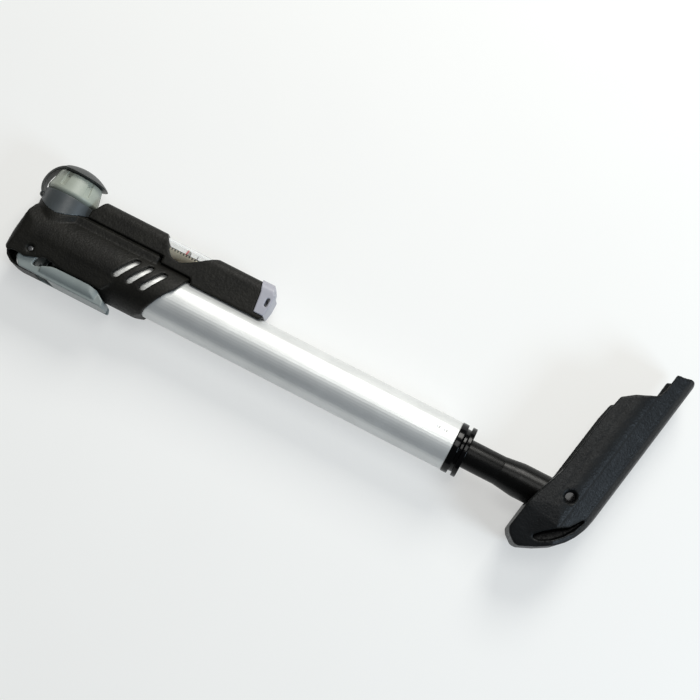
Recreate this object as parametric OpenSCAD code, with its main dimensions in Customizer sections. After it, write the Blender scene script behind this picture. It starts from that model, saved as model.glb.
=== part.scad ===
// Hand pump for bicycle tyres, lying on its side.
// X runs along the barrel towards the handle, Y towards the valve and the gauge, Z up.
// The origin is on the barrel's axis, at the middle of the stretch that a bracket grips.

/* [Barrel] */
// Outside diameter of the barrel
barrel_d = 24; // [20:0.5:30]
// Wall of the barrel
barrel_wall = 1.4; // [1:0.1:2]
// Barrel from the origin to its mouth
barrel_out = 76.8; // [50:0.1:140]
// Barrel from the origin to its inner end, inside the head
barrel_in = 104; // [100:1:115]

/* [Collar] */
// How far the collar's flanges stand out past the barrel
collar_proud = 0.3; // [0.2:0.05:1.5]
// Width of the flange against the barrel
flange_in = 3.2; // [2:0.1:4]
// Width of the outer flange
flange_w = 2.3; // [2:0.1:4]
// Width of the groove between the flanges
groove_w = 1.9; // [1:0.1:3]
// Depth of the groove
groove_deep = 1.7; // [1:0.1:3]

/* [Rod] */
// Diameter of the rod
rod_d = 14; // [12:0.2:16]
// Wall of the rod
rod_wall = 1.7; // [1:0.1:3]
// Diameter of the knuckle at the rod's end
knuckle_d = 16.5; // [14:0.5:20]
// Rod showing between the collar and the knuckle's flare
rod_shown = 17.1; // [12:0.1:40]
// Length of the knuckle from the start of its flare to the handle's pin
knuckle_len = 33.1; // [28:0.1:45]
// How far the handle's pin lies off the rod's axis
pin_off = 2.1; // [1:0.1:4]
// Length of the piston
piston_len = 11; // [9:0.5:16]

/* [Handle] */
// Angle between the handle and the barrel as it stands
handle_angle = 79.1; // [60:0.1:90]
// Handle from its pin to the far tip
handle_len = 79; // [70:1:110]
// Handle from its pin to the near tip
prow_len = 31.5; // [28:0.5:40]
// Wall of the handle beside the collar
handle_wall = 1.8; // [1.5:0.1:3]
// Thickness of the handle's palm behind the barrel
palm = 4.5; // [3:0.1:8]
// Thickness of the web between the hollows at the near tip
scoop_web = 8; // [4:0.5:16]
// Diameter of the handle's pin
handle_pin_d = 5; // [4:0.1:6]

/* [Head] */
// Wall of the head around the barrel
head_wall = 2.5; // [2:0.1:4]
// From the origin to the valve's axis
valve_x = 136.1; // [130:0.1:150]
// Height of the dark boot above the head
boot_h = 6.9; // [6:0.1:10]
// Height of the turning collar on the valve
nut_h = 11; // [9:0.1:14]
// Diameter of the turning collar on the valve
nut_d = 25.8; // [24:0.1:30]
// How much smaller the turning collar's radius is at its top
nut_taper = 1.9; // [0.5:0.1:2.5]

/* [Valve] */
// Radius of the rubber's mouth, for a wide valve stem
wide_r = 4; // [3.9:0.05:4.2]
// Radius of the rubber's inner part, for a narrow valve stem
narrow_r = 3.05; // [2.9:0.05:3.2]
// How far the lever's cam lifts the plunger
lift = 1.2; // [0.8:0.1:1.6]

/* [Lever] */
// How far the lever stands below the head
lever_proud = 3.8; // [3:0.1:6]
// Lever from its pin to its tip
lever_len = 42; // [36:0.1:55]
// Half the width of the lever
lever_half = 12; // [11.5:0.1:12.5]
// Diameter of the lever's pin
lever_pin_d = 2.6; // [2:0.1:3]

/* [Gauge] */
// Outside radius of the gauge's tube
tube_r = 5.2; // [4.5:0.1:6]
// Wall of the gauge's tube
tube_wall = 0.9; // [0.6:0.1:1.2]
// Half the width of the gauge's housing
gauge_half = 8; // [7.5:0.1:10]
// Housing from the origin to its end cap
gauge_end = 34; // [24:1:50]

/* [Fits] */
// Clearance of a pin or shaft in its hole
running = 0.05; // [0.02:0.01:0.08]
// Clearance between pieces that only pass each other
pass = 0.3; // [0.2:0.05:0.4]
// Clearance between the folded handle and the collar
fold_gap = 0.8; // [0.5:0.1:1.2]

/* [Hidden] */
$fn = 72;
tiny = 0.01;
over = 1;

// Barrel and collar
barrel_r = barrel_d / 2;
bore_r = barrel_r - barrel_wall;
collar_r = barrel_r + collar_proud;
collar_len = flange_in + groove_w + flange_w;
collar_end = barrel_out + collar_len;
spigot_len = 9;
rod_r = rod_d / 2;

// Rod and handle
flare_x = collar_end + rod_shown;
knuckle_r = knuckle_d / 2;
hinge_x = flare_x + knuckle_len;
hinge_y = pin_off;
trough_r = collar_r + fold_gap;
handle_r = trough_r + handle_wall;
palm_y = -(trough_r + palm - pin_off);
slot_half = knuckle_r + pass;
piston_x = 3 - barrel_in + spigot_len + rod_shown;

// Head
head_r = barrel_r + head_wall;
cheek_half = 12.5;
lever_gap_half = cheek_half - 1.7;
wall_half = 8.3;
vx = -valve_x;
nut_side = nut_d / 2;
pin_x = vx - 2;
pin_y = 5.5 - head_r;
lever_y = -(head_r + lever_proud);
pin_to_face = lever_y - pin_y;
rail_y = head_r + 1;
groove_y = head_r + 2.4;
boot_top = head_r + boot_h;
nut_top = boot_top + nut_h;
nut_wide_y = boot_top + 2.15;
taper_a = atan(nut_taper / (nut_top - 1 - nut_wide_y));
boss_r = nut_d / 2 - 2.5;
seat_r = boss_r - 2.1;
mouth_y = nut_top - 2.9;

// Valve stack, from the cam up
cam_low = 7;
cam_high = cam_low + lift;
plunger_r = 2.5;
plunger_y = pin_y + cam_low + 0.1;
plate_y = head_r + 0.3;
plate_t = 1.5;
gasket_y = plate_y + plate_t + lift + 0.15;
step_y = gasket_y + 5;
chamber_y = 7;
chamber_r = 4.5;

// Gauge
gauge_y = head_r + 7.4;
gauge_top = gauge_y + tube_r + 0.8;
gauge_bore = tube_r - tube_wall;
inlet_x = -112;
tube_x = -109;
cap_x = -gauge_end;
tube_end = cap_x + 2.4;
spring_seat = cap_x + 2.6;
window = [-84, -57.2];
rail_end = -83.4;

housing_low = barrel_r - 1.4;
ledge_y = barrel_r + 0.7;
marker_x = -73.6;
nipple_r = 1.8;
nipple_y = groove_y - 3.6;
inlet_y = groove_y - 4.6;

// Head details
front_top = -65.6;
front_low = -79;
slot_w = 2.8;
slot_pitch = 7;
slot_run = [5.6, 9.8];
pocket_r = 11.2;
saddle_r = [16.2, 17.8];
spigot_x = spigot_len - barrel_in;
seal_x = spigot_x - 3;
seal_cord = 1.5;
passage_y = 8;
collar_in = 10;
bush_r = rod_r + 1.5;
washer_t = 0.5;
boot_r = nut_d / 2 - 0.1;
boot_cut = 12.7;
root_r = 0.9;
ear_r = 1.4;
strap_half = 3.5;
hinge_root = [vx - nut_side + 0.7, head_r + 3.1];
ear = [3.7, 5.2];
cap_edge = nut_d / 2 + 0.5;
cap_rise = 4.5;
plunger_seal_y = 3.2;
plate_gap = 9.5;

// Knuckle and handle
eye_half = knuckle_r - 0.2;
eye_r = 8.2;
trough_x = 9;

// Directions
function turn(p, a) = [p[0] * cos(a) - p[1] * sin(a), p[0] * sin(a) + p[1] * cos(a)];
function arc(c, r, a0, a1, n = 12) = [for (i = [0 : n]) c + r * [cos(a0 + (a1 - a0) * i / n),
    sin(a0 + (a1 - a0) * i / n)]];

// A round bar along X from x0 to x1
module bar(x0, x1, r, y = 0) {
    translate([x0, y, 0])
        rotate([0, 90, 0])
            cylinder(h = x1 - x0, r = r);
}

// A ring along X
module ring(x0, x1, r, r_in, y = 0) {
    difference() {
        bar(x0, x1, r, y);
        bar(x0 - over, x1 + over, r_in, y);
    }
}

// A round post along Y from y0 to y1
module post(y0, y1, r, x = vx) {
    translate([x, y0, 0])
        rotate([-90, 0, 0])
            cylinder(h = y1 - y0, r = r);
}

// A turned shape about the valve's axis, from points of radius and height
module turned(points) {
    translate([vx, 0, 0])
        rotate([-90, 0, 0])
            rotate_extrude()
                polygon(points);
}

// A plate cut to an outline seen from above, from z0 to z1
module plate(points, z0, z1) {
    translate([0, 0, z0])
        linear_extrude(z1 - z0)
            polygon(points);
}

// A bar whose end view is drawn by the children, Y across and Z up
module profile(x0, x1) {
    translate([x0, 0, 0])
        rotate([90, 0, 90])
            linear_extrude(x1 - x0)
                children();
}

// A rectangle with round corners
module slab(x0, x1, y0, y1, r) {
    translate([x0 + r, y0])
        square([x1 - x0 - 2 * r, y1 - y0]);
    translate([x0, y0 + r])
        square([x1 - x0, y1 - y0 - 2 * r]);
    for (x = [x0 + r, x1 - r])
        for (y = [y0 + r, y1 - r])
            translate([x, y])
                circle(r);
}

// An O-ring about X
module o_ring_x(x, y, r, cord) {
    translate([x, y, 0])
        rotate([0, 90, 0])
            rotate_extrude()
                translate([r, 0])
                    circle(cord / 2);
}

// ---- Barrel and collar ----

module barrel() {
    mark_x = barrel_out - 10;
    color("silver")
        difference() {
            ring(-barrel_in, barrel_out, barrel_r, bore_r);
            for (i = [0, 1])
                translate([mark_x + 3.7 * i, 6, barrel_r])
                    rotate([0, 0, 12])
                        cube([1.1, 6, 2], center = true);
        }
}

module barrel_seal() {
    color("black")
        o_ring_x(seal_x, 0, bore_r - seal_cord / 2, seal_cord);
}

module check_valve() {
    color("darkred")
        bar(spigot_x, spigot_x + 0.8, 2, passage_y);
}

module end_collar() {
    groove_x = barrel_out + flange_in;
    color([0.06, 0.06, 0.06])
        difference() {
            union() {
                bar(barrel_out - collar_in, barrel_out, bore_r);
                bar(barrel_out, groove_x, collar_r);
                bar(groove_x, groove_x + groove_w, barrel_r - groove_deep + collar_proud);
                bar(groove_x + groove_w, collar_end, collar_r);
            }
            bar(barrel_out - collar_in - over, collar_end - 1.2, bush_r);
            bar(0, collar_end + over, rod_r + pass);
        }
}

module rod_bush() {
    color("dimgray")
        ring(barrel_out - collar_in, collar_end - 1.2, bush_r, rod_r + running);
}

// ---- Head ----

// The head's end view: round above, flat sides below down to the lever
module head_section() {
    circle(head_r);
    polygon([[-1, -14.4], [-1, 14.4], [-10.9, cheek_half + 0.2], [-16, cheek_half - 0.4],
        [-16, 0.4 - cheek_half], [-10.9, -cheek_half - 0.2]]);
}

// The head seen from above, without its sleeve
head_outline = [[vx + 40, head_r], [vx - nut_side + 2.1, head_r], [vx - nut_side + 1.5, 10.6],
    [vx - nut_side + 0.2, 1.8],
    [vx - 14.1, -5.7], [pin_x - 12.1, pin_y], [pin_x - 11.6, pin_y - 4], [pin_x - 9.5, pin_y - 5.4],
    [pin_x - 8.2, pin_y - 4.4], [pin_x - 4.8, pin_y - 4], [pin_x - 1.5, pin_y - 4.6],
    [pin_x, pin_y - 4.2], [pin_x + 8.5, pin_y - 0.9],
    [pin_x + 12.6, pin_y - 1.4], [pin_x + 14.3, pin_y - 1.9], [pin_x + 17, pin_y - 2.2],
    [pin_x + 38, pin_y - 2.2], [pin_x + 42, -6]];

// The round base below the boot, which fades into the head's end
base_outline = [[vx + boot_r, 2], [vx + boot_r, boot_top], [vx - boot_r, boot_top],
    [vx - boot_r, head_r + 0.2], [vx - nut_side + 1.9, 12.5], [vx - nut_side + 1.7, 2]];

// The slanted edge where the sleeve ends on the barrel
sleeve_outline = [[pin_x + 11, -head_r - over], [pin_x + 11, head_r + over], [front_top, head_r + over],
    [front_top - 1, barrel_r], [front_top - 3.4, 4.5], [front_top - 6.2, 1], [front_top - 9.4, -4.3],
    [front_low + 0.4, -0.88 * barrel_r], [front_low, -barrel_r + 0.4], [front_low + 0.2, -barrel_r - 0.3],
    [front_low - 4.2, -head_r - tiny], [front_low - 4.2, -head_r - over]];

// The thin wall that wraps round below the lever's root
module root_wall() {
    outer = [[pin_x - 12.1, pin_y - 1], [pin_x - 11.6, pin_y - 4], [pin_x - 9.9, pin_y - 7],
        [pin_x - 6.7, pin_y - 9.2], [pin_x - 3, pin_y - 9.7], [pin_x + 6.3, pin_y - 9.6]];
    inner = [[pin_x + 6.3, pin_y - 8.9], [pin_x - 2.6, pin_y - 8.9], [pin_x - 6, pin_y - 8.2],
        [pin_x - 8.8, pin_y - 6.3], [pin_x - 10.3, pin_y - 3.6], [pin_x - 11.1, pin_y - 1]];
    plate(concat(outer, inner), -wall_half, wall_half);
}

// Three slanted slots that show the barrel
module slots() {
    slot_a = atan2(slot_run[1], slot_run[0]);
    for (i = [0 : 2])
        translate([front_top - 31 + slot_pitch * i, -1.6, -head_r - over])
            linear_extrude(2 * head_r + 2 * over)
                polygon(concat(arc([0, 0], slot_w / 2, slot_a + 90, slot_a + 270, 8),
                    arc(slot_run, slot_w / 2, slot_a - 90, slot_a + 90, 8)));
}

module head_body() {
    color([0.13, 0.13, 0.12])
        difference() {
            union() {
                intersection() {
                    bar(pin_x, front_top + over, head_r);
                    plate(sleeve_outline, -head_r, head_r);
                }
                difference() {
                    intersection() {
                        plate(head_outline, -head_r, head_r);
                        profile(vx - 20, vx + 41)
                            head_section();
                        end_plan();
                    }
                    bar(pin_x + 11, 0, head_r - over);
                }
                root_wall();
                intersection() {
                    post(2, boot_top, boot_r);
                    plate(base_outline, -boot_r, boot_r);
                    saddle();
                }
                post(2, mouth_y, boss_r);
                rail();
            }
            difference() {
                bar(-barrel_in, 0, barrel_r);
                spigot();
            }
            slots();
            bar(tube_x - 1.2, rail_end + over, tube_r + pass / 2, gauge_y);
            lever_pocket();
            valve_bores();
            air_passages();
            translate([pin_x, pin_y, -head_r]) {
                cylinder(h = 2 * head_r, d = lever_pin_d);
                cylinder(h = head_r - cheek_half + 0.6, d = lever_pin_d + 1.1);
                translate([0, 0, head_r + cheek_half - 0.6])
                    cylinder(h = head_r, d = lever_pin_d + 1.1);
            }
        }
}

// The slightly flared round surface that the boot sits on
module saddle() {
    translate([vx - 14, 0, 0])
        rotate([0, 90, 0])
            cylinder(h = 28, r1 = saddle_r[0], r2 = saddle_r[1]);
}

// The head's end is rounded as seen from the valve's side
module end_plan() {
    corner = 6;
    translate([0, 2 * head_r, 0])
        rotate([90, 0, 0])
            linear_extrude(4 * head_r)
                polygon(concat(
                    arc([vx - 14.3 + corner, cheek_half + 1.5 - corner], corner, 90, 180, 10),
                    arc([vx - 14.3 + corner, corner - cheek_half - 1.5], corner, 180, 270, 10),
                    [[vx - 6, -head_r], [vx + 60, -head_r], [vx + 60, head_r], [vx - 6, head_r]]));
}

// Rail under the gauge, with a neck that the housing stands on
module rail() {
    x0 = vx + 10;
    neck_x = vx + boot_cut + pass;
    translate([x0, 0, -gauge_half - 0.9])
        cube([rail_end - x0, rail_y, 2 * gauge_half + 1.8]);
    translate([neck_x, 0, 1 - gauge_half])
        cube([rail_end - 1 - neck_x, groove_y, 2 * gauge_half - 2]);
}

// Plug inside the barrel's end, with a groove for its seal
module spigot() {
    bar(-barrel_in - over, spigot_x, bore_r - 0.1);
    ring(-barrel_in - over, -barrel_in, barrel_r + over, 1);
}

module lever_pocket() {
    translate([pin_x, pin_y, -lever_gap_half]) {
        difference() {
            union() {
                cylinder(h = 2 * lever_gap_half, r = pocket_r);
                translate([-pocket_r, -20, 0])
                    cube([2 * pocket_r + 0.3, 20, 2 * lever_gap_half]);
            }
            translate([0, 0, lever_gap_half])
                translate([-pin_x, -pin_y, 0])
                    root_wall();
        }
    }
}

// The plunger's guide, the air chamber and the rubber's seat
module valve_bores() {
    post(0, chamber_y + 1, plunger_r + running);
    post(chamber_y, plate_y, chamber_r);
    post(plate_y - 0.2, mouth_y + over, seat_r);
}

// From the barrel to the valve, and from the valve to the gauge
module air_passages() {
    bar(vx, spigot_x + over, 1.2, passage_y);
    bar(vx, inlet_x, 0.8, inlet_y);
    post(inlet_y, groove_y + over, 0.8, inlet_x);
    post(nipple_y, groove_y + over, nipple_r + 0.8, inlet_x);
    o_groove();
}

// Groove for the seal on the plug
module o_groove() {
    ring(seal_x - seal_cord / 2, seal_x + seal_cord / 2, bore_r, bore_r - seal_cord);
}

// ---- Valve ----

module valve_boot() {
    color([0.25, 0.27, 0.29])
        difference() {
            union() {
                intersection() {
                    post(0, boot_top, boot_r);
                    translate([vx - 20, 0, -20])
                        cube([20 + boot_cut, 40, 40]);
                }
                for (z = [ear[0], -ear[1]])
                    translate([hinge_root[0], hinge_root[1], z])
                        linear_extrude(ear[1] - ear[0]) {
                            circle(ear_r);
                            translate([0, -ear_r])
                                square([5, 2 * ear_r]);
                        }
            }
            saddle();
            post(-1, boot_top + over, boss_r);
            translate([vx + 9, 0, -20])
                cube([20, rail_y, 40]);
            translate([hinge_root[0], hinge_root[1], 0]) {
                cylinder(h = 2 * ear[0], r = ear_r + 0.2, center = true);
                cylinder(h = 40, r = root_r + running, center = true);
            }
        }
}

module valve_nut() {
    r = nut_d / 2;
    low = nut_wide_y - 2;
    color([0.62, 0.65, 0.6])
        difference() {
            turned(concat(
                [[boss_r + running, low], [r - 1.4, low]],
                arc([r - 1.9, nut_wide_y], 1.9, -75, 0, 6),
                arc([r - nut_taper - 1, nut_top - 1], 1, taper_a, 90, 6),
                [[wide_r + 0.8, nut_top], [wide_r + 0.8, mouth_y + washer_t + 0.1],
                    [boss_r + running, mouth_y + washer_t + 0.1]]));
            for (i = [0 : 5])
                translate([vx, 0, 0])
                    rotate([0, 41 + 60 * i, 0])
                        translate([0, nut_wide_y + 1.2, r - 1.1])
                            rotate([-taper_a, 0, 0])
                                translate([-1.3, 0, 0])
                                    cube([2.6, 9, 3]);
        }
}

module thrust_washer() {
    color("goldenrod")
        difference() {
            post(mouth_y, mouth_y + washer_t, seat_r);
            post(mouth_y - over, nut_top, wide_r + 0.8);
        }
}

// Rubber sleeve for a wide valve stem
module valve_gasket() {
    color([0.1, 0.1, 0.1])
        difference() {
            post(step_y, mouth_y, seat_r);
            post(step_y - over, mouth_y + over, wide_r);
        }
}

// Rubber sleeve for a narrow valve stem, below the wide one
module narrow_gasket() {
    color([0.13, 0.13, 0.13])
        difference() {
            post(gasket_y, step_y, seat_r);
            post(gasket_y - over, step_y + over, narrow_r);
        }
}

module plunger() {
    color("ivory")
        difference() {
            union() {
                post(plunger_y, plate_y + 0.5, plunger_r);
                post(plate_y + 0.1, plate_y + plate_t, seat_r - running);
            }
            ring_groove();
            for (i = [0 : 3])
                translate([vx, 0, 0])
                    rotate([0, 45 + 90 * i, 0])
                        translate([4.6, plate_y, 0])
                            rotate([-90, 0, 0])
                                cylinder(h = 3, r = 0.9);
        }
}

module ring_groove() {
    translate([vx, plunger_seal_y, 0])
        rotate([-90, 0, 0])
            difference() {
                cylinder(h = 0.7, r = plunger_r + over);
                translate([0, 0, -over])
                    cylinder(h = 3, r = plunger_r - 0.65);
            }
}

module plunger_seal() {
    color("black")
        translate([vx, plunger_seal_y + 0.35, 0])
            rotate([-90, 0, 0])
                rotate_extrude()
                    translate([plunger_r - 0.32, 0])
                        circle(0.33);
}

// Domed cap and its strap, moulded as one, with a groove where they meet
module dust_cap() {
    rim = nut_top + 0.7;
    big_r = (cap_edge * cap_edge + cap_rise * cap_rise) / (2 * cap_rise);
    half = asin(cap_edge / big_r);
    top = rim + cap_rise - big_r;
    fold_x = vx - nut_side + 5.4;
    color([0.2, 0.21, 0.21]) {
        difference() {
            turned(concat(
                [[0, nut_top + 0.2], [10.2, nut_top + 0.2], [cap_edge - 0.5, rim], [cap_edge, rim]],
                arc([0, top], big_r, 90 - half, 90, 10)));
            translate([fold_x - 20, 0, -20])
                cube([20, 60, 40]);
            translate([fold_x, nut_top + 3.3, -20])
                cube([0.6, 5, 40]);
        }
        difference() {
            translate([0, 0, -strap_half])
                linear_extrude(2 * strap_half)
                    polygon(concat([for (a = [92 : 8 : 236]) strap_edge(10.7, a)],
                        [for (a = [232 : -8 : 92]) strap_edge(9.5, a)]));
            translate([hinge_root[0] - 4, hinge_root[1] - 20, -20])
                cube([20, 20, 40]);
            translate([fold_x, 0, -20])
                cube([0.6, 60, 40]);
            translate([fold_x + 2, 0, -20])
                cube([20, 60, 40]);
            nut_room();
        }
        translate([fold_x - 0.1, nut_top + 1.4, -strap_half])
            cube([0.8, 1.9, 2 * strap_half]);
        translate([hinge_root[0], hinge_root[1], 0]) {
            cylinder(h = 2 * strap_half, r = root_r + 0.4, center = true);
            cylinder(h = 2 * ear[1] - 0.2, r = root_r, center = true);
        }
    }
}

// A point on the strap's curve, which is taller above its bend than below
function strap_edge(r, a) = [vx - nut_side + 7.7, nut_top - 8.2]
    + [r * cos(a), (a < 180 ? r + 1.2 : r - 1) * sin(a)];

// The space that the turning collar needs below the cap's rim
module nut_room() {
    r = nut_d / 2 + pass;
    turned([[0, boot_top], [r, boot_top], [r, nut_wide_y], [r - nut_taper, nut_top - 0.6],
        [r - nut_taper - 0.8, nut_top + 0.2], [0, nut_top + 0.2]]);
}

// ---- Lever ----

// The cam's edge rises evenly over the quarter turn that lifts the plunger
cam_outline = [for (a = [0 : 10 : 350])
    (a < 90 ? cam_low : a > 180 ? (a > 270 ? cam_low : cam_high) : cam_low + lift * (a - 90) / 90)
        * [cos(a), sin(a)]];

lever_outline = concat(
    [[4.3, 0], [3.6, -5.9], [5.4, -6.2], [12.4, -3.3], [15.1, -2.8], [lever_len - 10.2, -2.5],
        [lever_len - 5.3, -3.3], [lever_len - 0.8, -6.4], [lever_len, -8.6]],
    arc([lever_len - 0.7, pin_to_face + 0.7], 0.7, 0, -90, 4),
    [[-1.8, pin_to_face], [-4.6, -5.9], [-4.6, 0]]);

// The lever's tip is round as seen from below
module lever_plan() {
    tip_r = 9.5;
    x = pin_x + lever_len - tip_r;
    half = concat(arc([x, lever_half - tip_r], tip_r, 0, 90, 12), [[pin_x, lever_half]]);
    translate([0, 2 * head_r, 0])
        rotate([90, 0, 0])
            linear_extrude(4 * head_r)
                polygon(concat(half, [for (i = [len(half) - 1 : -1 : 0]) [half[i][0], -half[i][1]]]));
}

module lock_lever() {
    arm_in = wall_half + 0.25;
    arm_out = lever_gap_half - 0.3;
    flare = 8.4;
    color([0.52, 0.55, 0.55])
        difference() {
            union() {
                translate([pin_x, pin_y, 0]) {
                    for (z = [arm_in, -arm_out])
                        translate([0, 0, z])
                            linear_extrude(arm_out - arm_in) {
                                polygon(lever_outline);
                                circle(4.6);
                            }
                    cylinder(h = 2 * arm_out, r = 3.6, center = true);
                    translate([0, 0, -3.5])
                        linear_extrude(7)
                            polygon(cam_outline);
                }
                intersection() {
                    translate([pin_x, pin_y, -lever_half])
                        linear_extrude(2 * lever_half)
                            polygon(lever_outline);
                    profile(pin_x + flare, pin_x + lever_len + over)
                        lever_section();
                    lever_plan();
                }
            }
            difference() {
                bar(pin_x + flare - over, pin_x + lever_len + over, head_r + pass);
                translate([pin_x, pin_y, 0])
                    cylinder(h = 50, r = 4.7, center = true);
            }
            translate([pin_x + 3, lever_y - over, -wall_half - 0.25])
                cube([plate_gap, 12, 2 * wall_half + 0.5]);
            translate([pin_x, pin_y, 0])
                cylinder(h = 60, d = lever_pin_d + 2 * running, center = true);
        }
}

// End view of the lever: a trough with round outer corners
module lever_section() {
    round_r = 5;
    polygon(concat(
        [[0, lever_half], [-9, lever_half]],
        arc([lever_y + round_r, lever_half - round_r], round_r, 90, 180, 10),
        arc([lever_y + round_r, round_r - lever_half], round_r, 180, 270, 10),
        [[-9, -lever_half], [0, -lever_half]]));
}

module lever_pin() {
    color("lightgray")
        translate([pin_x, pin_y, 0.5 - cheek_half])
            cylinder(h = 2 * cheek_half - 1, d = lever_pin_d);
}

// ---- Gauge ----

gauge_start = vx + nut_side + pass;
gauge_outline = [[gauge_start, groove_y], [gauge_start, gauge_y - 1.7],
    [gauge_start + 2.4, gauge_y + 2.2], [gauge_start + 4.7, gauge_top + over],
    [window[0] - 3, gauge_top + over], [window[0], gauge_y + 2.6],
    [window[0] + 3.2, gauge_y - 2.6], [window[0] + 5.1, gauge_y - 3.8], [window[0] + 8.4, gauge_y - 4.5],
    [window[0] + 10.7, gauge_y - 4], [window[1] - 10.2, gauge_y - 0.4], [window[1] - 3.8, gauge_y + 4.4],
    [window[1], gauge_top + over], [cap_x - 2.4, gauge_top + over], [cap_x - 0.2, gauge_y + 0.4],
    [cap_x + 1, ledge_y], [cap_x + 6.4, ledge_y], [cap_x + 5.2, housing_low],
    [front_top + 0.6, housing_low], [front_top - 1, head_r - 1.2], [rail_end + 1, head_r - 1.2],
    [rail_end + 1, groove_y]];

module gauge_housing() {
    color([0.15, 0.15, 0.14]) {
        difference() {
            intersection() {
                plate(gauge_outline, -gauge_half, gauge_half);
                profile(vx, 0)
                    dome(gauge_half, gauge_top, 4.8, housing_low);
            }
            bar(vx, front_top + 0.1, head_r);
            bar(vx, 0, barrel_r + pass / 2);
            translate([vx + 9, 0, -20])
                cube([rail_end + pass - vx - 9, groove_y, 40]);
            bar(tube_x - 1.2, 0, tube_r, gauge_y);
            bar(inlet_x, tube_x, 1, gauge_y);
            post(groove_y - over, gauge_y, 0.8, inlet_x);
        }
        difference() {
            post(nipple_y + 0.3, groove_y + tiny, nipple_r, inlet_x);
            post(nipple_y, groove_y + over, 0.8, inlet_x);
        }
    }
}

// End view with a round top, Y across and Z up
module dome(half, top, r, low) {
    polygon(concat([[low, -half], [low, half]],
        arc([top - r, half - r], r, 90, 0, 10),
        arc([top - r, r - half], r, 0, -90, 10)));
}

module gauge_tube() {
    color([0.9, 0.95, 1, 0.4])
        ring(tube_x, tube_end, tube_r, gauge_bore, gauge_y);
}

module gauge_scale() {
    color("ivory")
        difference() {
            ring(window[0] - 5, window[1] + 3, gauge_bore, gauge_bore - 0.3, gauge_y);
            translate([window[0] - 6, gauge_y + 0.9, -10])
                cube([50, 10, 20]);
        }
}

// Cup seal, stem and red marker, pushed along the tube by the air
module gauge_piston() {
    r = gauge_bore - 0.45;
    color("crimson") {
        bar(marker_x - 1.4, marker_x, r, gauge_y);
        bar(window[0] - 3, marker_x - 1, 1.3, gauge_y);
        bar(tube_x + 1, window[0] - 2, r, gauge_y);
    }
}

// A coil swept with a few sides about each point of its path
module gauge_spring() {
    turns = 11;
    steps = 12;
    sides = 6;
    wire = 0.35;
    x0 = marker_x + wire + 0.1;
    run = spring_seat - wire - x0;
    r = gauge_bore - 1.2;
    n = turns * steps;
    points = [for (i = [0 : n]) let (a = 360 * i / steps)
        for (j = [0 : sides - 1]) let (b = 360 * j / sides)
            [x0 + run * i / n + wire * sin(b), gauge_y + (r + wire * cos(b)) * cos(a),
                (r + wire * cos(b)) * sin(a)]];
    walls = [for (i = [0 : n - 1]) for (j = [0 : sides - 1]) let (k = (j + 1) % sides)
        [i * sides + j, i * sides + k, (i + 1) * sides + k, (i + 1) * sides + j]];
    ends = [[for (j = [sides - 1 : -1 : 0]) j], [for (j = [0 : sides - 1]) n * sides + j]];
    color("silver")
        polyhedron(points, concat(walls, ends));
}

module gauge_end_cap() {
    top = gauge_top + 0.9;
    outline = [[cap_x - 2.7, top + over], [cap_x - 0.2, gauge_y + 0.4], [cap_x + 1, ledge_y],
        [cap_x + 5.8, ledge_y], [cap_x + 6.8, ledge_y + 5.3], [cap_x + 6.8, gauge_y + 1.6],
        [cap_x + 5.6, gauge_y + 2.6], [cap_x + 5.3, gauge_y + 4.6], [cap_x + 3.4, top + over]];
    color([0.62, 0.62, 0.7])
        difference() {
            intersection() {
                plate(outline, -gauge_half - 0.5, gauge_half + 0.5);
                profile(cap_x - 6, cap_x + 12)
                    dome(gauge_half + 0.5, top, 5.2, ledge_y - over);
            }
            bar(cap_x - 6, tube_end, tube_r, gauge_y);
            bar(cap_x - 6, spring_seat, gauge_bore - 0.4, gauge_y);
            translate([cap_x + 4.7, gauge_y - 2.7, -20])
                linear_extrude(40)
                    slab(-0.8, 0.8, -2.1, 2.1, 0.7);
        }
}

module gauge_seal() {
    color("black")
        translate([inlet_x, nipple_y + 1, 0])
            rotate([-90, 0, 0])
                rotate_extrude()
                    translate([nipple_r + 0.4, 0])
                        circle(0.38);
}

module tube_seal() {
    color("black")
        o_ring_x(tube_x - 0.6, gauge_y, tube_r - 0.6, 1.1);
}

// ---- Rod ----

module rod() {
    color([0.09, 0.09, 0.09])
        ring(piston_x + 5, flare_x, rod_r, rod_r - rod_wall);
}

module rod_end() {
    flare = 9.5;
    color([0.09, 0.09, 0.09])
        difference() {
            union() {
                bar(flare_x - 8, flare_x, rod_r - rod_wall);
                translate([flare_x, 0, 0])
                    rotate([0, 90, 0])
                        cylinder(h = flare, r1 = rod_r, r2 = knuckle_r);
                intersection() {
                    bar(flare_x + flare, hinge_x - 5, knuckle_r);
                    translate([flare_x, -20, -eye_half])
                        cube([60, 40, 2 * eye_half]);
                }
                bar(flare_x + flare, hinge_x - 11, knuckle_r);
                translate([hinge_x, hinge_y, -eye_half])
                    cylinder(h = 2 * eye_half, r = eye_r);
            }
            translate([hinge_x, hinge_y, -20])
                cylinder(h = 40, d = handle_pin_d + 2 * running);
        }
}

module piston() {
    color("white")
        difference() {
            bar(piston_x, piston_x + piston_len, bore_r - 0.2);
            bar(piston_x + 5, piston_x + piston_len + over, rod_r);
            ring(piston_x + 1.6, piston_x + 4.2, bore_r + over, bore_r - 2.4);
            bar(piston_x - over, piston_x + 20, 1.5);
            bar(piston_x - over, piston_x + 2.4, 3.2);
        }
}

module piston_seal() {
    color("black")
        difference() {
            o_ring_x(piston_x + 2.9, 0, bore_r - 1.3, 2.5);
            bar(piston_x, piston_x + 6, bore_r - 2.4);
        }
}

module piston_screw() {
    color("gray")
        difference() {
            union() {
                bar(piston_x + 0.3, piston_x + 2.4, 3.1);
                bar(piston_x + 2, piston_x + 14, 1.5);
            }
            profile(piston_x - over, piston_x + 1.5)
                circle(1.4, $fn = 6);
        }
}

// ---- Handle ----

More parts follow.
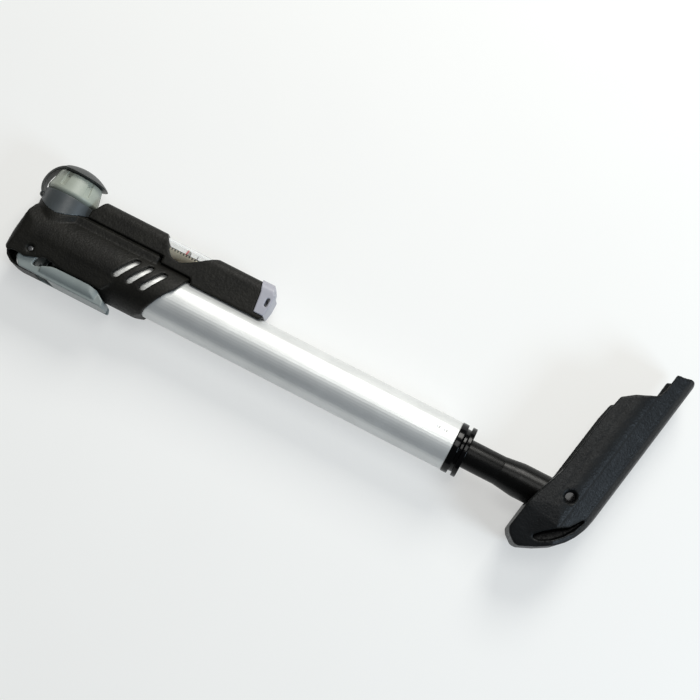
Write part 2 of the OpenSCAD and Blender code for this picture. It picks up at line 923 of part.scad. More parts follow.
handle_outline = concat(
    [[7, 10.2], [-6, 13], [-12.1, 13.8], [4.6 - prow_len, 13.8], [2.4 - prow_len, 12]],
    arc([4.4 - prow_len, 6.8], 4.4, 160, 210, 4),
    [[4.9 - prow_len, -1.6], [10.1 - prow_len, -7.5], [14.5 - prow_len, -10.6], [19.3 - prow_len, -12.9],
        [25.4 - prow_len, -14.7], [1, palm_y], [30, palm_y]],
    arc([handle_len - 3, palm_y + 2.6], 3, -90, 0, 5),
    [[handle_len - 2.4, -8.4], [handle_len - 3.7, -5.2], [handle_len - 12, -5.3],
        [handle_len - 15.5, -4.6], [handle_len - 17.6, -3.5], [handle_len - 20.9, 0.9],
        [handle_len - 23.2, 4.4], [handle_len - 28.4, 9.4], [handle_len - 37, 10.1]]);

// End view of the handle: round back, bevels and a crowned palm
module handle_section() {
    half = concat(
        [[16, handle_r - 0.9], [5.3, handle_r - 0.1]],
        arc([pin_off, 0], handle_r, 79, 114, 7),
        [[-4.1, handle_r - 1.7], [-10.6, 9.3], [-11.3, 9.4]],
        [[palm_y + 3, 8.2], [palm_y + 1.3, 6], [palm_y + 0.4, 3.2], [palm_y, 0]]);
    polygon(concat(half, [for (i = [len(half) - 2 : -1 : 0]) [half[i][0], -half[i][1]]]));
}

// Plan of the handle from the palm's side
module handle_plan() {
    half = [[handle_len + over, 0], [handle_len + over, handle_r - 3], [handle_len - 4, handle_r],
        [-7, handle_r + tiny], [-14, handle_r - 0.9], [-22, handle_r - 3.2], [-prow_len - over, 8.4]];
    translate([0, 30, 0])
        rotate([90, 0, 0])
            linear_extrude(60)
                polygon(concat(half, [for (i = [len(half) - 1 : -1 : 1]) [half[i][0], -half[i][1]]]));
}

// The space that the knuckle sweeps as the handle folds, in the handle's own frame
knuckle_low = pin_off + knuckle_r + pass;
knuckle_sweep = concat(
    [turn([-45, -knuckle_low], -handle_angle), turn([-4, -knuckle_low], -handle_angle)],
    arc([0, 0], eye_r + 0.4, 200, 270, 6),
    [[9, pin_off - knuckle_r - pass], [16, pin_off - knuckle_r - pass], [16, 45]]);

module handle() {
    color([0.14, 0.14, 0.14])
        in_handle()
            difference() {
                intersection() {
                    plate(handle_outline, -handle_r, handle_r);
                    profile(-prow_len - over, handle_len + over)
                        handle_section();
                    handle_plan();
                }
                profile(trough_x, handle_len + 5) {
                    translate([pin_off, 0])
                        circle(trough_r);
                    translate([pin_off, -trough_r])
                        square([30, 2 * trough_r]);
                }
                plate(knuckle_sweep, -slot_half, slot_half);
                translate([0, 0, -20])
                    cylinder(h = 40, d = handle_pin_d);
                for (z = [handle_r - 1.6, -handle_r - over])
                    translate([0, 0, z])
                        cylinder(h = 1.6 + over, d = handle_pin_d + 1.4);
                for (side = [0, 1])
                    mirror([0, 0, side])
                        prow_scoop();
            }
}

// Hollow beside the near tip, between the body and the palm's rim
module prow_scoop() {
    outer = [[7 - prow_len, 2.6], [7.6 - prow_len, -0.6], [11.7 - prow_len, -5.4], [15.8 - prow_len, -8.2],
        [20.2 - prow_len, -10.3], [26 - prow_len, -11.9], [30 - prow_len, -12.2]];
    inner = [[21 - prow_len, -8], [16.6 - prow_len, -3.4], [12 - prow_len, 0.6], [8.6 - prow_len, 3]];
    plate(concat(outer, inner), scoop_web / 2, handle_r + over);
}

// Turns the handle's own frame, with X along it and Y out of its channel, to where it stands
module in_handle() {
    translate([hinge_x, hinge_y, 0])
        rotate([0, 0, handle_angle])
            children();
}

module handle_pin() {
    color("silver")
        translate([hinge_x, hinge_y, 1.4 - handle_r])
            cylinder(h = 2 * handle_r - 2.8, d = handle_pin_d);
}

head_body();
barrel();
barrel_seal();
check_valve();
end_collar();
rod_bush();
valve_boot();
valve_nut();
thrust_washer();
valve_gasket();
narrow_gasket();
plunger();
plunger_seal();
dust_cap();
lock_lever();
lever_pin();
gauge_housing();
gauge_tube();
gauge_scale();
gauge_piston();
gauge_spring();
gauge_end_cap();
gauge_seal();
tube_seal();
rod();
rod_end();
piston();
piston_seal();
piston_screw();
handle();
handle_pin();
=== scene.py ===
"""The looks of a bicycle mini pump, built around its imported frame.

X runs along the barrel towards the handle, Y towards the valve and the gauge, Z up. Metres.
"""

import math

import bmesh
import bpy
from mathutils import Matrix, Vector


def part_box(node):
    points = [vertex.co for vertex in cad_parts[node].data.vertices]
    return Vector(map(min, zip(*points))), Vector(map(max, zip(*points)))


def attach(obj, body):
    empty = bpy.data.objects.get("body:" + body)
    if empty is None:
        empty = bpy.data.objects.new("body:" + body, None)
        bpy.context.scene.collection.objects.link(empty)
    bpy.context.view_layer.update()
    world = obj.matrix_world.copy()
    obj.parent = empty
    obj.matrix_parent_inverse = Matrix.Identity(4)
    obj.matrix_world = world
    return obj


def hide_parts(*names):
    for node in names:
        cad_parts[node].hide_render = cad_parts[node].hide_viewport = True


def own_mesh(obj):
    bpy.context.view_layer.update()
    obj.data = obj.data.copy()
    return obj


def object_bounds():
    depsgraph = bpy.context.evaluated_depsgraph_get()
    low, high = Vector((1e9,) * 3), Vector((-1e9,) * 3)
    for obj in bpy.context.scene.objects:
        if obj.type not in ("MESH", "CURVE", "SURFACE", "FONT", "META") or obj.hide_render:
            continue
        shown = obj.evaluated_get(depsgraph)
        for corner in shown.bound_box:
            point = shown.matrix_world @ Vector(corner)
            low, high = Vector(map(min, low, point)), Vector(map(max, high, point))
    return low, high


bl_info = {
    "name": "Mini pump",
    "version": (1, 0, 0),
    "blender": (4, 5, 0),
    "location": "3D View > Sidebar > Mini pump",
    "description": "Builds the pieces, finishes and stage of a bicycle mini pump",
    "category": "Add Mesh",
}

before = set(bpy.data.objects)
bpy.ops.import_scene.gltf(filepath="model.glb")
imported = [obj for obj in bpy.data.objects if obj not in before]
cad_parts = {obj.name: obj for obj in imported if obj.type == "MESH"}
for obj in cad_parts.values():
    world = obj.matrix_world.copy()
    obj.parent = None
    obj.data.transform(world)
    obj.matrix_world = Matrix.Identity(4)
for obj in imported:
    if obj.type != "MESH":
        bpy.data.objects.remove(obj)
CAD_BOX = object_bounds()
MM = 0.001
X_AXIS = Vector((1, 0, 0))
Y_AXIS = Vector((0, 1, 0))
Z_AXIS = Vector((0, 0, 1))


# ---- Sizes and finishes that a user would change ----

def length(name, description, default):
    """A length property in metres."""
    return bpy.props.FloatProperty(
        name=name, description=description, default=default, min=0.0, subtype="DISTANCE", unit="LENGTH", precision=5)


def colour(name, description, default):
    """A colour property without alpha."""
    return bpy.props.FloatVectorProperty(
        name=name, description=description, default=default, min=0.0, max=1.0, subtype="COLOR")


class PumpSizes(bpy.types.PropertyGroup):
    """Fine sizes of the pieces that the frame does not give."""

    shell_faces: length("Shell faces", "Face size of the large moulded shells", 0.48 * MM)
    part_faces: length("Part faces", "Face size of the small moulded parts", 0.28 * MM)
    edge: length("Edge", "Width of the softened edges on turned metal", 0.25 * MM)
    grain: length("Grain", "Size of the grain in the moulded plastic", 0.85 * MM)
    grain_depth: length("Grain depth", "Depth of the grain in the moulded plastic", 0.16 * MM)
    spring_wire: length("Spring wire", "Radius of the gauge spring's wire", 0.3 * MM)
    tick_gap: length("Tick gap", "Distance between the marks of the pressure scale", 1.5 * MM)
    tick_length: length("Tick length", "Length of the marks of the pressure scale", 1.1 * MM)
    tick_line: length("Tick line", "Width of the line that joins the marks", 0.25 * MM)
    ring_gap: length("Ring gap", "Distance between the rings on the gauge's marker", 1.3 * MM)
    flange: length("Flange", "Width of the collar's flange against the barrel", 3.2 * MM)
    groove: length("Groove", "Width of the collar's groove", 1.9 * MM)
    groove_depth: length("Groove depth", "Depth of the collar's groove", 1.7 * MM)
    rod_gap: length("Rod gap", "Gap round the rod at the collar's mouth", 0.3 * MM)
    rod_wall: length("Rod wall", "Wall of the rod's tube", 1.7 * MM)
    rod_seam: length("Rod seam", "How far the rod's tube reaches into its knuckle", 0.3 * MM)
    edge_passes: bpy.props.IntProperty(
        name="Edge passes", description="Smoothing passes that round the moulded edges", default=3, min=0, max=20)
    spring_turns: bpy.props.IntProperty(
        name="Spring turns", description="Turns of the gauge spring", default=11, min=3, max=30)


class PumpColours(bpy.types.PropertyGroup):
    """Colours of the finishes."""

    shell: colour("Shell", "Grained plastic of the head and the gauge", (0.0082, 0.0078, 0.0060))
    handle: colour("Handle", "Grained plastic of the handle", (0.0070, 0.0077, 0.0080))
    silver: colour("Silver", "Anodised barrel", (0.68, 0.69, 0.68))
    collar: colour("Collar", "Glossy collar at the barrel's mouth", (0.0012, 0.0012, 0.0014))
    rod: colour("Rod", "Satin black rod", (0.0020, 0.0020, 0.0018))
    lever: colour("Lever", "Grey lever", (0.215, 0.245, 0.240))
    boot: colour("Boot", "Blue-grey boot below the turning collar", (0.052, 0.060, 0.064))
    nut: colour("Turning collar", "Pale grey turning collar", (0.32, 0.35, 0.30))
    cap: colour("Dust cap", "Dark rubber cap and strap", (0.034, 0.037, 0.036))
    end_cap: colour("End cap", "Lilac-grey cap on the gauge", (0.35, 0.35, 0.395))
    scale: colour("Scale", "Cream card of the pressure scale", (0.60, 0.55, 0.43))
    marker: colour("Marker", "Red marker of the gauge", (0.62, 0.03, 0.06))
    steel: colour("Steel", "Pins, screw and spring", (0.56, 0.56, 0.57))
    brass: colour("Brass", "Thrust washer", (0.66, 0.47, 0.20))
    rubber: colour("Rubber", "Seals and gasket", (0.012, 0.012, 0.012))
    nylon: colour("Nylon", "Plunger and piston", (0.72, 0.70, 0.63))
    floor: colour("Floor", "Pale floor", (0.43, 0.435, 0.428))


# ---- Materials ----

class Finish:
    """A material whose nodes are added one by one, starting from its shader."""

    def __init__(self, name, **sockets):
        """Makes the material and sets constants on the shader's own sockets."""
        self.material = bpy.data.materials.new(name)
        self.material.use_nodes = True
        self.tree = self.material.node_tree
        self.shader = self.tree.nodes["Principled BSDF"]
        for socket, value in sockets.items():
            self.shader.inputs[socket.replace("_", " ")].default_value = value
        self.place = self.add("ShaderNodeTexCoord").outputs["Object"]

    def add(self, kind, **settings):
        """Adds a node; settings that name one of its sockets are constants or links."""
        node = self.tree.nodes.new(kind)
        for key, value in settings.items():
            socket = node.inputs.get(key.replace("_", " "))
            if socket is None:
                setattr(node, key, value)
            elif isinstance(value, bpy.types.NodeSocket):
                self.tree.links.new(value, socket)
            else:
                socket.default_value = value
        return node

    def link(self, output, socket):
        """Feeds one of the shader's sockets."""
        self.tree.links.new(output, self.shader.inputs[socket])

    def stretched(self, factors):
        """Object coordinates scaled differently along each axis."""
        return self.add("ShaderNodeMapping", Vector=self.place, Scale=factors).outputs["Vector"]

    def noise(self, size, detail=3.0, place=None):
        """Cloudy noise whose features have about this size in metres."""
        return self.add("ShaderNodeTexNoise", Vector=place or self.place, Scale=1 / size, Detail=detail).outputs["Fac"]

    def spread(self, value, low, high, start=0.3, end=0.7):
        """Maps a noise value to a range."""
        return self.add("ShaderNodeMapRange", Value=value, From_Min=start, From_Max=end, To_Min=low,
                        To_Max=high).outputs["Result"]

    def tones(self, value, dark, light, start=0.3, end=0.7):
        """Turns a noise value into a colour between two tones."""
        ramp = self.add("ShaderNodeValToRGB", Fac=value)
        for stop, at, tone in zip(ramp.color_ramp.elements, (start, end), (dark, light)):
            stop.position = at
            stop.color = (*tone, 1)
        return ramp.outputs["Color"]

    def worked(self, operation, *values):
        """The result of an operation on values, each a socket or a number."""
        node = self.add("ShaderNodeMath", operation=operation)
        for socket, value in zip(node.inputs, values):
            if isinstance(value, bpy.types.NodeSocket):
                self.tree.links.new(value, socket)
            else:
                socket.default_value = value
        return node.outputs[0]

    def relief(self, height, depth, below=None):
        """Bumps the surface by a height of this depth, on top of another relief."""
        bump = self.add("ShaderNodeBump", Height=height, Distance=depth)
        if below:
            self.tree.links.new(below, bump.inputs["Normal"])
        return bump.outputs["Normal"]


def shade(tone, factor):
    """A colour made lighter or darker."""
    return tuple(min(1.0, part * factor) for part in tone)


def grained(name, tone, sizes, roughness=0.5, contrast=0.45):
    """Spark-eroded moulded plastic: fine grain in its relief, colour and gloss."""
    made = Finish(name, Specular_IOR_Level=0.2)
    fine = made.noise(sizes.grain, 4.0)
    clouds = made.noise(9 * MM, 2.0)
    mottle = made.worked("MULTIPLY_ADD", fine, 0.7, made.spread(clouds, 0.05, 0.25))
    made.link(made.tones(mottle, shade(tone, 1 - contrast), shade(tone, 1 + contrast), 0.38, 0.72), "Base Color")
    made.link(made.spread(fine, roughness + 0.08, roughness - 0.08), "Roughness")
    low = made.relief(made.noise(3 * sizes.grain, 2.0), sizes.grain_depth)
    made.link(made.relief(fine, sizes.grain_depth, low), "Normal")
    return made.material


def smooth_plastic(name, tone, roughness=0.4, contrast=0.12, depth=0.004 * MM, **sockets):
    """Satin moulded plastic or rubber with faint flow marks and fine scuffs."""
    made = Finish(name, **sockets)
    flow = made.noise(6 * MM, 3.0)
    scuffs = made.noise(0.5 * MM, 4.0, made.stretched((0.25, 1.0, 1.0)))
    made.link(made.tones(flow, shade(tone, 1 - contrast), shade(tone, 1 + contrast)), "Base Color")
    made.link(made.spread(scuffs, roughness - 0.05, roughness + 0.07), "Roughness")
    made.link(made.relief(scuffs, depth), "Normal")
    return made.material


def drawn_metal(name, tone, roughness=0.3, along=(0.02, 1.0, 1.0), depth=0.003 * MM, contrast=0.05, metallic=1.0):
    """Metal with fine lines drawn along it; a satin anodised one is less metallic."""
    made = Finish(name, Metallic=metallic)
    lines = made.noise(0.35 * MM, 3.0, made.stretched(along))
    clouds = made.noise(14 * MM, 2.0)
    made.link(made.tones(clouds, shade(tone, 1 - contrast), shade(tone, 1 + contrast)), "Base Color")
    made.link(made.spread(lines, roughness - 0.05, roughness + 0.06), "Roughness")
    made.link(made.relief(lines, depth), "Normal")
    return made.material


def clear_plastic():
    """Clear tube of the gauge, with faint haze."""
    made = Finish("Clear tube", Base_Color=(0.97, 0.98, 0.98, 1), Transmission_Weight=1.0, IOR=1.49)
    haze = made.noise(1.5 * MM, 3.0, made.stretched((0.3, 1.0, 1.0)))
    made.link(made.spread(haze, 0.02, 0.07), "Roughness")
    made.link(made.relief(haze, 0.001 * MM), "Normal")
    return made.material


def printed_scale(sizes, tone):
    """Cream card with black marks across it near its upper edge."""
    low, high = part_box("gauge_scale")
    made = Finish("Printed scale")
    card = made.tones(made.noise(4 * MM, 2.0), shade(tone, 0.92), shade(tone, 1.06))
    split = made.add("ShaderNodeSeparateXYZ", Vector=made.place)

    along = made.worked("WRAP", made.worked("SUBTRACT", split.outputs["X"], low.x), sizes.tick_gap, 0.0)
    mark = made.worked("MULTIPLY", made.worked("LESS_THAN", along, sizes.tick_gap * 0.42),
                       made.worked("GREATER_THAN", split.outputs["Y"], high.y - sizes.tick_length))
    edge = made.worked("GREATER_THAN", split.outputs["Y"], high.y - sizes.tick_line)
    ink = made.worked("MAXIMUM", mark, edge)
    mix = made.add("ShaderNodeMix", data_type="RGBA")
    card_side, ink_side, mixed = mix.inputs[6], mix.inputs[7], mix.outputs[2]
    made.tree.links.new(ink, mix.inputs["Factor"])
    made.tree.links.new(card, card_side)
    ink_side.default_value = (0.01, 0.01, 0.01, 1)
    made.link(mixed, "Base Color")
    made.link(made.spread(made.noise(0.6 * MM), 0.45, 0.6), "Roughness")
    return made.material


def banded(name, tone, band, start, gap):
    """Pale plastic with thin rings in a second colour, at equal distances along X."""
    made = Finish(name, Roughness=0.35)
    split = made.add("ShaderNodeSeparateXYZ", Vector=made.place)
    steps = made.worked("PINGPONG", made.worked("SUBTRACT", split.outputs["X"], start), gap / 2)
    made.link(made.tones(made.spread(steps, 0, 1, 0, gap / 2), band, tone, 0.44, 0.52), "Base Color")
    made.link(made.relief(made.noise(0.3 * MM), 0.003 * MM), "Normal")
    return made.material


def paint(material, *nodes):
    """Gives CAD nodes a material in place of their own."""
    for node in nodes:
        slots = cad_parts[node].material_slots
        if not slots:
            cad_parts[node].data.materials.append(material)
        for slot in slots:
            slot.material = material


# ---- Meshes ----

def piece_from(mesh, name, material, body, slot, *nodes, angle=35):
    """Makes an object of a bmesh, riding on a body and standing for CAD nodes."""
    data = bpy.data.meshes.new(name)
    mesh.to_mesh(data)
    mesh.free()
    piece = bpy.data.objects.new(name, data)
    bpy.context.scene.collection.objects.link(piece)
    dress(piece, material, body, slot, *nodes, angle=angle)
    return piece


def dress(piece, material, body, slot, *nodes, angle=35):
    """Shades a piece smooth up to an angle, and says what it is made of, rides on and stands for."""
    piece.data.materials.clear()
    piece.data.materials.append(material)
    for face in piece.data.polygons:
        face.use_smooth = True
    piece.data.set_sharp_from_angle(angle=math.radians(angle))
    if nodes:
        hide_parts(*nodes)
    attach(piece, body)


def merged(node):
    """A bmesh copy of a CAD node with its loose triangles joined."""
    mesh = bmesh.new()
    mesh.from_mesh(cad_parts[node].data)
    bmesh.ops.remove_doubles(mesh, verts=mesh.verts, dist=0.002 * MM)
    bmesh.ops.dissolve_degenerate(mesh, edges=mesh.edges, dist=0.001 * MM)
    return mesh


def applied(piece):
    """Replaces a piece's mesh by what its modifiers make of it."""
    graph = bpy.context.evaluated_depsgraph_get()
    made = bpy.data.meshes.new_from_object(piece.evaluated_get(graph))
    piece.modifiers.clear()
    piece.data = made


def moulded(node, name, material, body, slot, faces, passes):
    """A copy of a CAD node with even faces and edges rounded as a mould leaves them."""
    data = bpy.data.meshes.new(name)
    mesh = merged(node)
    mesh.to_mesh(data)
    mesh.free()
    piece = bpy.data.objects.new(name, data)
    bpy.context.scene.collection.objects.link(piece)
    remesh = piece.modifiers.new("Even faces", "REMESH")
    remesh.mode = "VOXEL"
    remesh.voxel_size = faces
    applied(piece)
    mesh = bmesh.new()
    mesh.from_mesh(piece.data)
    for _ in range(passes):
        bmesh.ops.smooth_vert(mesh, verts=mesh.verts, factor=0.5, use_axis_x=True, use_axis_y=True, use_axis_z=True)
    mesh.to_mesh(piece.data)
    mesh.free()
    dress(piece, material, body, slot, node, angle=60)
    return piece


def turned(points, centre, axis=X_AXIS, steps=96):
    """Spins an outline of (place along the axis, radius) about an axis, and closes it."""
    side = Y_AXIS if axis.y == 0 else Z_AXIS
    mesh = bmesh.new()
    ring = [mesh.verts.new(centre + axis * along + side * radius) for along, radius in points]
    edges = [mesh.edges.new((ring[i], ring[i - 1])) for i in range(len(ring)) if i or points[0][1] > 0]
    bmesh.ops.spin(mesh, geom=ring + edges, cent=centre, axis=axis, angle=2 * math.pi, steps=steps, use_merge=True)
    bmesh.ops.remove_doubles(mesh, verts=mesh.verts, dist=0.001 * MM)
    bmesh.ops.recalc_face_normals(mesh, faces=mesh.faces)
    return mesh


def rounded(points, radius, steps=3):
    """An outline with its corners cut to arcs of this radius."""
    out = []
    count = len(points)
    for i, here in enumerate(points):
        before, after = Vector(points[i - 1]), Vector(points[(i + 1) % count])
        here = Vector(here)
        if here.y == 0:
            out.append(here)
            continue
        one, two = (before - here), (after - here)
        cut = min(radius, one.length * 0.45, two.length * 0.45)
        start, end = here + one.normalized() * cut, here + two.normalized() * cut
        for k in range(steps + 1):
            t = k / steps
            out.append(start * (1 - t) ** 2 + here * 2 * t * (1 - t) + end * t * t)
    return [(p.x, p.y) for p in out]


def shaft(node, edge, steps=64, axis=X_AXIS):
    """A solid round bar in the place of a CAD node, with softened ends."""
    low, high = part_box(node)
    middle = (low + high) / 2
    half = (high - low) @ axis / 2
    radius = max((high - low) @ side for side in (X_AXIS, Y_AXIS, Z_AXIS) if side != axis) / 2
    points = [(-half, 0), (-half, radius), (half, radius), (half, 0)]
    return turned(rounded(points, edge), middle, axis, steps)


# ---- Operators ----

class PUMP_OT_head(bpy.types.Operator):
    """Builds the moulded head and its sleeve"""

    bl_idname = "pump.head"
    bl_label = "Head"

    def execute(self, context):
        sizes, tones = context.scene.pump_sizes, context.scene.pump_colours
        shell = grained("Head plastic", tones.shell, sizes)
        moulded("head_body", "head_shell", shell, "pump", "black_grain", sizes.shell_faces, sizes.edge_passes)
        return {"FINISHED"}


class PUMP_OT_barrel(bpy.types.Operator):
    """Builds the anodised barrel"""

    bl_idname = "pump.barrel"
    bl_label = "Barrel"

    def execute(self, context):
        sizes, tones = context.scene.pump_sizes, context.scene.pump_colours
        silver = drawn_metal("Anodised silver", tones.silver, roughness=0.42, metallic=0.5)
        tube = piece_from(merged("barrel"), "barrel_tube", silver, "pump", "silver", "barrel")
        soften = tube.modifiers.new("Soft edges", "BEVEL")
        soften.width = sizes.edge
        soften.segments = 2
        soften.limit_method = "ANGLE"
        soften.angle_limit = math.radians(40)
        soften.use_clamp_overlap = False
        return {"FINISHED"}


class PUMP_OT_collar(bpy.types.Operator):
    """Builds the glossy collar with its groove at the barrel's mouth"""

    bl_idname = "pump.collar"
    bl_label = "Collar"

    def execute(self, context):
        sizes, tones = context.scene.pump_sizes, context.scene.pump_colours
        gloss = smooth_plastic("Glossy collar", tones.collar, roughness=0.14, depth=0.002 * MM,
                               Specular_IOR_Level=0.15)
        low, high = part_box("end_collar")
        shoulder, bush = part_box("rod_bush")[1].x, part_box("rod_bush")[1].z
        mouth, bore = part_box("barrel")[1].x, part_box("piston")[1].z
        radius, hole = high.z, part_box("rod")[1].z + sizes.rod_gap
        groove_start, groove_radius = mouth + sizes.flange, radius - sizes.groove_depth
        groove_end = groove_start + sizes.groove
        points = [
            (low.x, bush), (low.x, bore), (mouth, bore), (mouth, radius), (groove_start, radius),
            (groove_start, groove_radius), (groove_end, groove_radius), (groove_end, radius), (high.x, radius),
            (high.x, hole), (shoulder, hole), (shoulder, bush)]
        piece_from(turned(rounded(points, 1.6 * sizes.edge), Vector((0, 0, 0)), steps=128), "collar", gloss, "pump",
                   "collar_black", "end_collar", angle=50)
        return {"FINISHED"}


class PUMP_OT_rod(bpy.types.Operator):
    """Builds the rod, its knuckle and the piston's finish"""

    bl_idname = "pump.rod"
    bl_label = "Rod"

    def execute(self, context):
        sizes, tones = context.scene.pump_sizes, context.scene.pump_colours
        satin = smooth_plastic("Satin black", tones.rod, roughness=0.3, depth=0.006 * MM, Specular_IOR_Level=0.16)
        low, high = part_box("rod")
        radius, end = high.z, high.x + sizes.rod_seam
        inner = radius - sizes.rod_wall
        points = [(low.x, inner), (low.x, radius), (end, radius), (end, inner)]
        piece_from(turned(rounded(points, sizes.edge / 2), Vector((0, 0, 0)), steps=96), "rod_tube", satin, "rod",
                   "rod_black", "rod")
        moulded("rod_end", "rod_knuckle", satin, "rod", "rod_black", sizes.part_faces, sizes.edge_passes)
        paint(smooth_plastic("Piston nylon", tones.nylon, roughness=0.42, Subsurface_Weight=0.05), "piston")
        return {"FINISHED"}


class PUMP_OT_handle(bpy.types.Operator):
    """Builds the folding handle and its pin"""

    bl_idname = "pump.handle"
    bl_label = "Handle"

    # Length of the pin that shows, so that its ends lie below the handle's sides
    PIN_SHARE = 0.9

    def execute(self, context):
        sizes, tones = context.scene.pump_sizes, context.scene.pump_colours
        grip = grained("Handle plastic", tones.handle, sizes, roughness=0.44)
        moulded("handle", "handle_grip", grip, "handle", "handle_black", sizes.shell_faces, sizes.edge_passes)
        # The pin's steel is darkened to 4 per cent of its colour: painted shade standing for the shadow in the pin's
        # recess
        steel = drawn_metal("Pin steel with painted shade", shade(tones.steel, 0.04), roughness=0.12, along=(1.0, 1.0, 0.1))
        pin = shaft("handle_pin", sizes.edge, axis=Z_AXIS)
        bmesh.ops.scale(pin, vec=(1, 1, self.PIN_SHARE), verts=pin.verts)
        piece_from(pin, "handle_pivot", steel, "handle", "steel", "handle_pin")
        return {"FINISHED"}


class PUMP_OT_lever(bpy.types.Operator):
    """Builds the locking lever and its pin"""

    bl_idname = "pump.lever"
    bl_label = "Lever"

    def execute(self, context):
        sizes, tones = context.scene.pump_sizes, context.scene.pump_colours
        grey = smooth_plastic("Lever plastic", tones.lever, roughness=0.36, contrast=0.06)
        moulded("lock_lever", "lever", grey, "lever", "lever_grey", sizes.part_faces, sizes.edge_passes)
        steel = drawn_metal("Lever pin steel", shade(tones.steel, 0.4), roughness=0.25, along=(1.0, 1.0, 0.1))
        piece_from(shaft("lever_pin", sizes.edge, axis=Z_AXIS), "lever_pivot", steel, "pump", "steel", "lever_pin")
        return {"FINISHED"}


class PUMP_OT_valve(bpy.types.Operator):
    """Builds the boot, the turning collar, the dust cap and the parts of the valve"""

    bl_idname = "pump.valve"
    bl_label = "Valve"

    def execute(self, context):
        sizes, tones = context.scene.pump_sizes, context.scene.pump_colours
        faces, passes = 0.8 * sizes.part_faces, sizes.edge_passes
        boot = smooth_plastic("Boot rubber", tones.boot, roughness=0.42)
        moulded("valve_boot", "boot", boot, "pump", "boot_grey", faces, passes)
        nut = smooth_plastic("Turning collar plastic", tones.nut, roughness=0.4, contrast=0.05)
        moulded("valve_nut", "turning_collar", nut, "nut", "nut_grey", faces, passes)
        cap = smooth_plastic("Cap rubber", tones.cap, roughness=0.45)
        moulded("dust_cap", "cap_and_strap", cap, "cap", "cap_rubber", faces, passes)
        paint(drawn_metal("Washer brass", tones.brass, roughness=0.3), "thrust_washer")
        paint(smooth_plastic("Valve rubber", tones.rubber, roughness=0.5), "valve_gasket", "narrow_gasket",
              "plunger_seal")
        paint(smooth_plastic("Plunger nylon", tones.nylon, roughness=0.4), "plunger")
        return {"FINISHED"}


class PUMP_OT_gauge(bpy.types.Operator):
    """Builds the pressure gauge"""

    bl_idname = "pump.gauge"
    bl_label = "Gauge"

    def execute(self, context):
        sizes, tones = context.scene.pump_sizes, context.scene.pump_colours
        shell = grained("Gauge plastic", tones.shell, sizes)
        faces, passes = 1.15 * sizes.part_faces, sizes.edge_passes
        moulded("gauge_housing", "gauge_case", shell, "pump", "black_grain", faces, passes)
        lilac = smooth_plastic("End cap plastic", tones.end_cap, roughness=0.38, contrast=0.05)
        moulded("gauge_end_cap", "gauge_cap", lilac, "pump", "cap_lilac", 0.8 * sizes.part_faces, passes)
        self.tube(sizes)
        paint(printed_scale(sizes, tones.scale), "gauge_scale")
        paint(banded("Marker", tones.nylon, tones.marker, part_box("gauge_piston")[0].x, sizes.ring_gap),
              "gauge_piston")
        self.spring(sizes, tones)
        return {"FINISHED"}

    @staticmethod
    def tube(sizes):
        """Clear tube with softened rims."""
        low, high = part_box("gauge_tube")
        centre = Vector((0, (low.y + high.y) / 2, 0))
        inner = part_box("gauge_scale")[1].z
        points = [(low.x, inner), (low.x, high.z), (high.x, high.z), (high.x, inner)]
        piece_from(turned(rounded(points, sizes.edge), centre, steps=96), "gauge_glass", clear_plastic(), "pump",
                   "tube_clear", "gauge_tube")

    @staticmethod
    def spring(sizes, tones):
        """Helical spring between the marker and the end cap."""
        low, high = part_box("gauge_spring")
        centre_y = (low.y + high.y) / 2
        radius = (high.y - low.y) / 2 - sizes.spring_wire
        start, run = low.x + sizes.spring_wire, high.x - low.x - 2 * sizes.spring_wire
        per_turn = 28
        count = sizes.spring_turns * per_turn
        line = bpy.data.curves.new("gauge_spring_line", "CURVE")
        line.dimensions = "3D"
        line.bevel_depth = sizes.spring_wire
        line.bevel_resolution = 2
        line.use_fill_caps = True
        path = line.splines.new("POLY")
        path.points.add(count)
        for i, point in enumerate(path.points):
            turn = 2 * math.pi * i / per_turn
            point.co = (start + run * i / count, centre_y + radius * math.cos(turn), radius * math.sin(turn), 1)
        piece = bpy.data.objects.new("gauge_coil", line)
        bpy.context.scene.collection.objects.link(piece)
        graph = bpy.context.evaluated_depsgraph_get()
        mesh = bmesh.new()
        mesh.from_mesh(bpy.data.meshes.new_from_object(piece.evaluated_get(graph)))
        bpy.data.objects.remove(piece)
        steel = drawn_metal("Spring steel", tones.steel, roughness=0.25, along=(1.0, 1.0, 1.0))
        coil = piece_from(mesh, "gauge_coil", steel, "pump", "steel", "gauge_spring")
        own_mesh(coil)


class PUMP_OT_seals(bpy.types.Operator):
    """Finishes the seals, the bush, the check valve and the screw"""

    bl_idname = "pump.seals"
    bl_label = "Seals and inner parts"

    def execute(self, context):
        tones = context.scene.pump_colours
        paint(smooth_plastic("Seal rubber", tones.rubber, roughness=0.45), "barrel_seal", "gauge_seal", "tube_seal",
              "piston_seal")
        paint(smooth_plastic("Valve flap rubber", tones.rubber, roughness=0.5), "check_valve")
        paint(smooth_plastic("Bush plastic", shade(tones.nylon, 0.25), roughness=0.4), "rod_bush")
        paint(drawn_metal("Screw steel", tones.steel, roughness=0.28), "piston_screw")
        return {"FINISHED"}


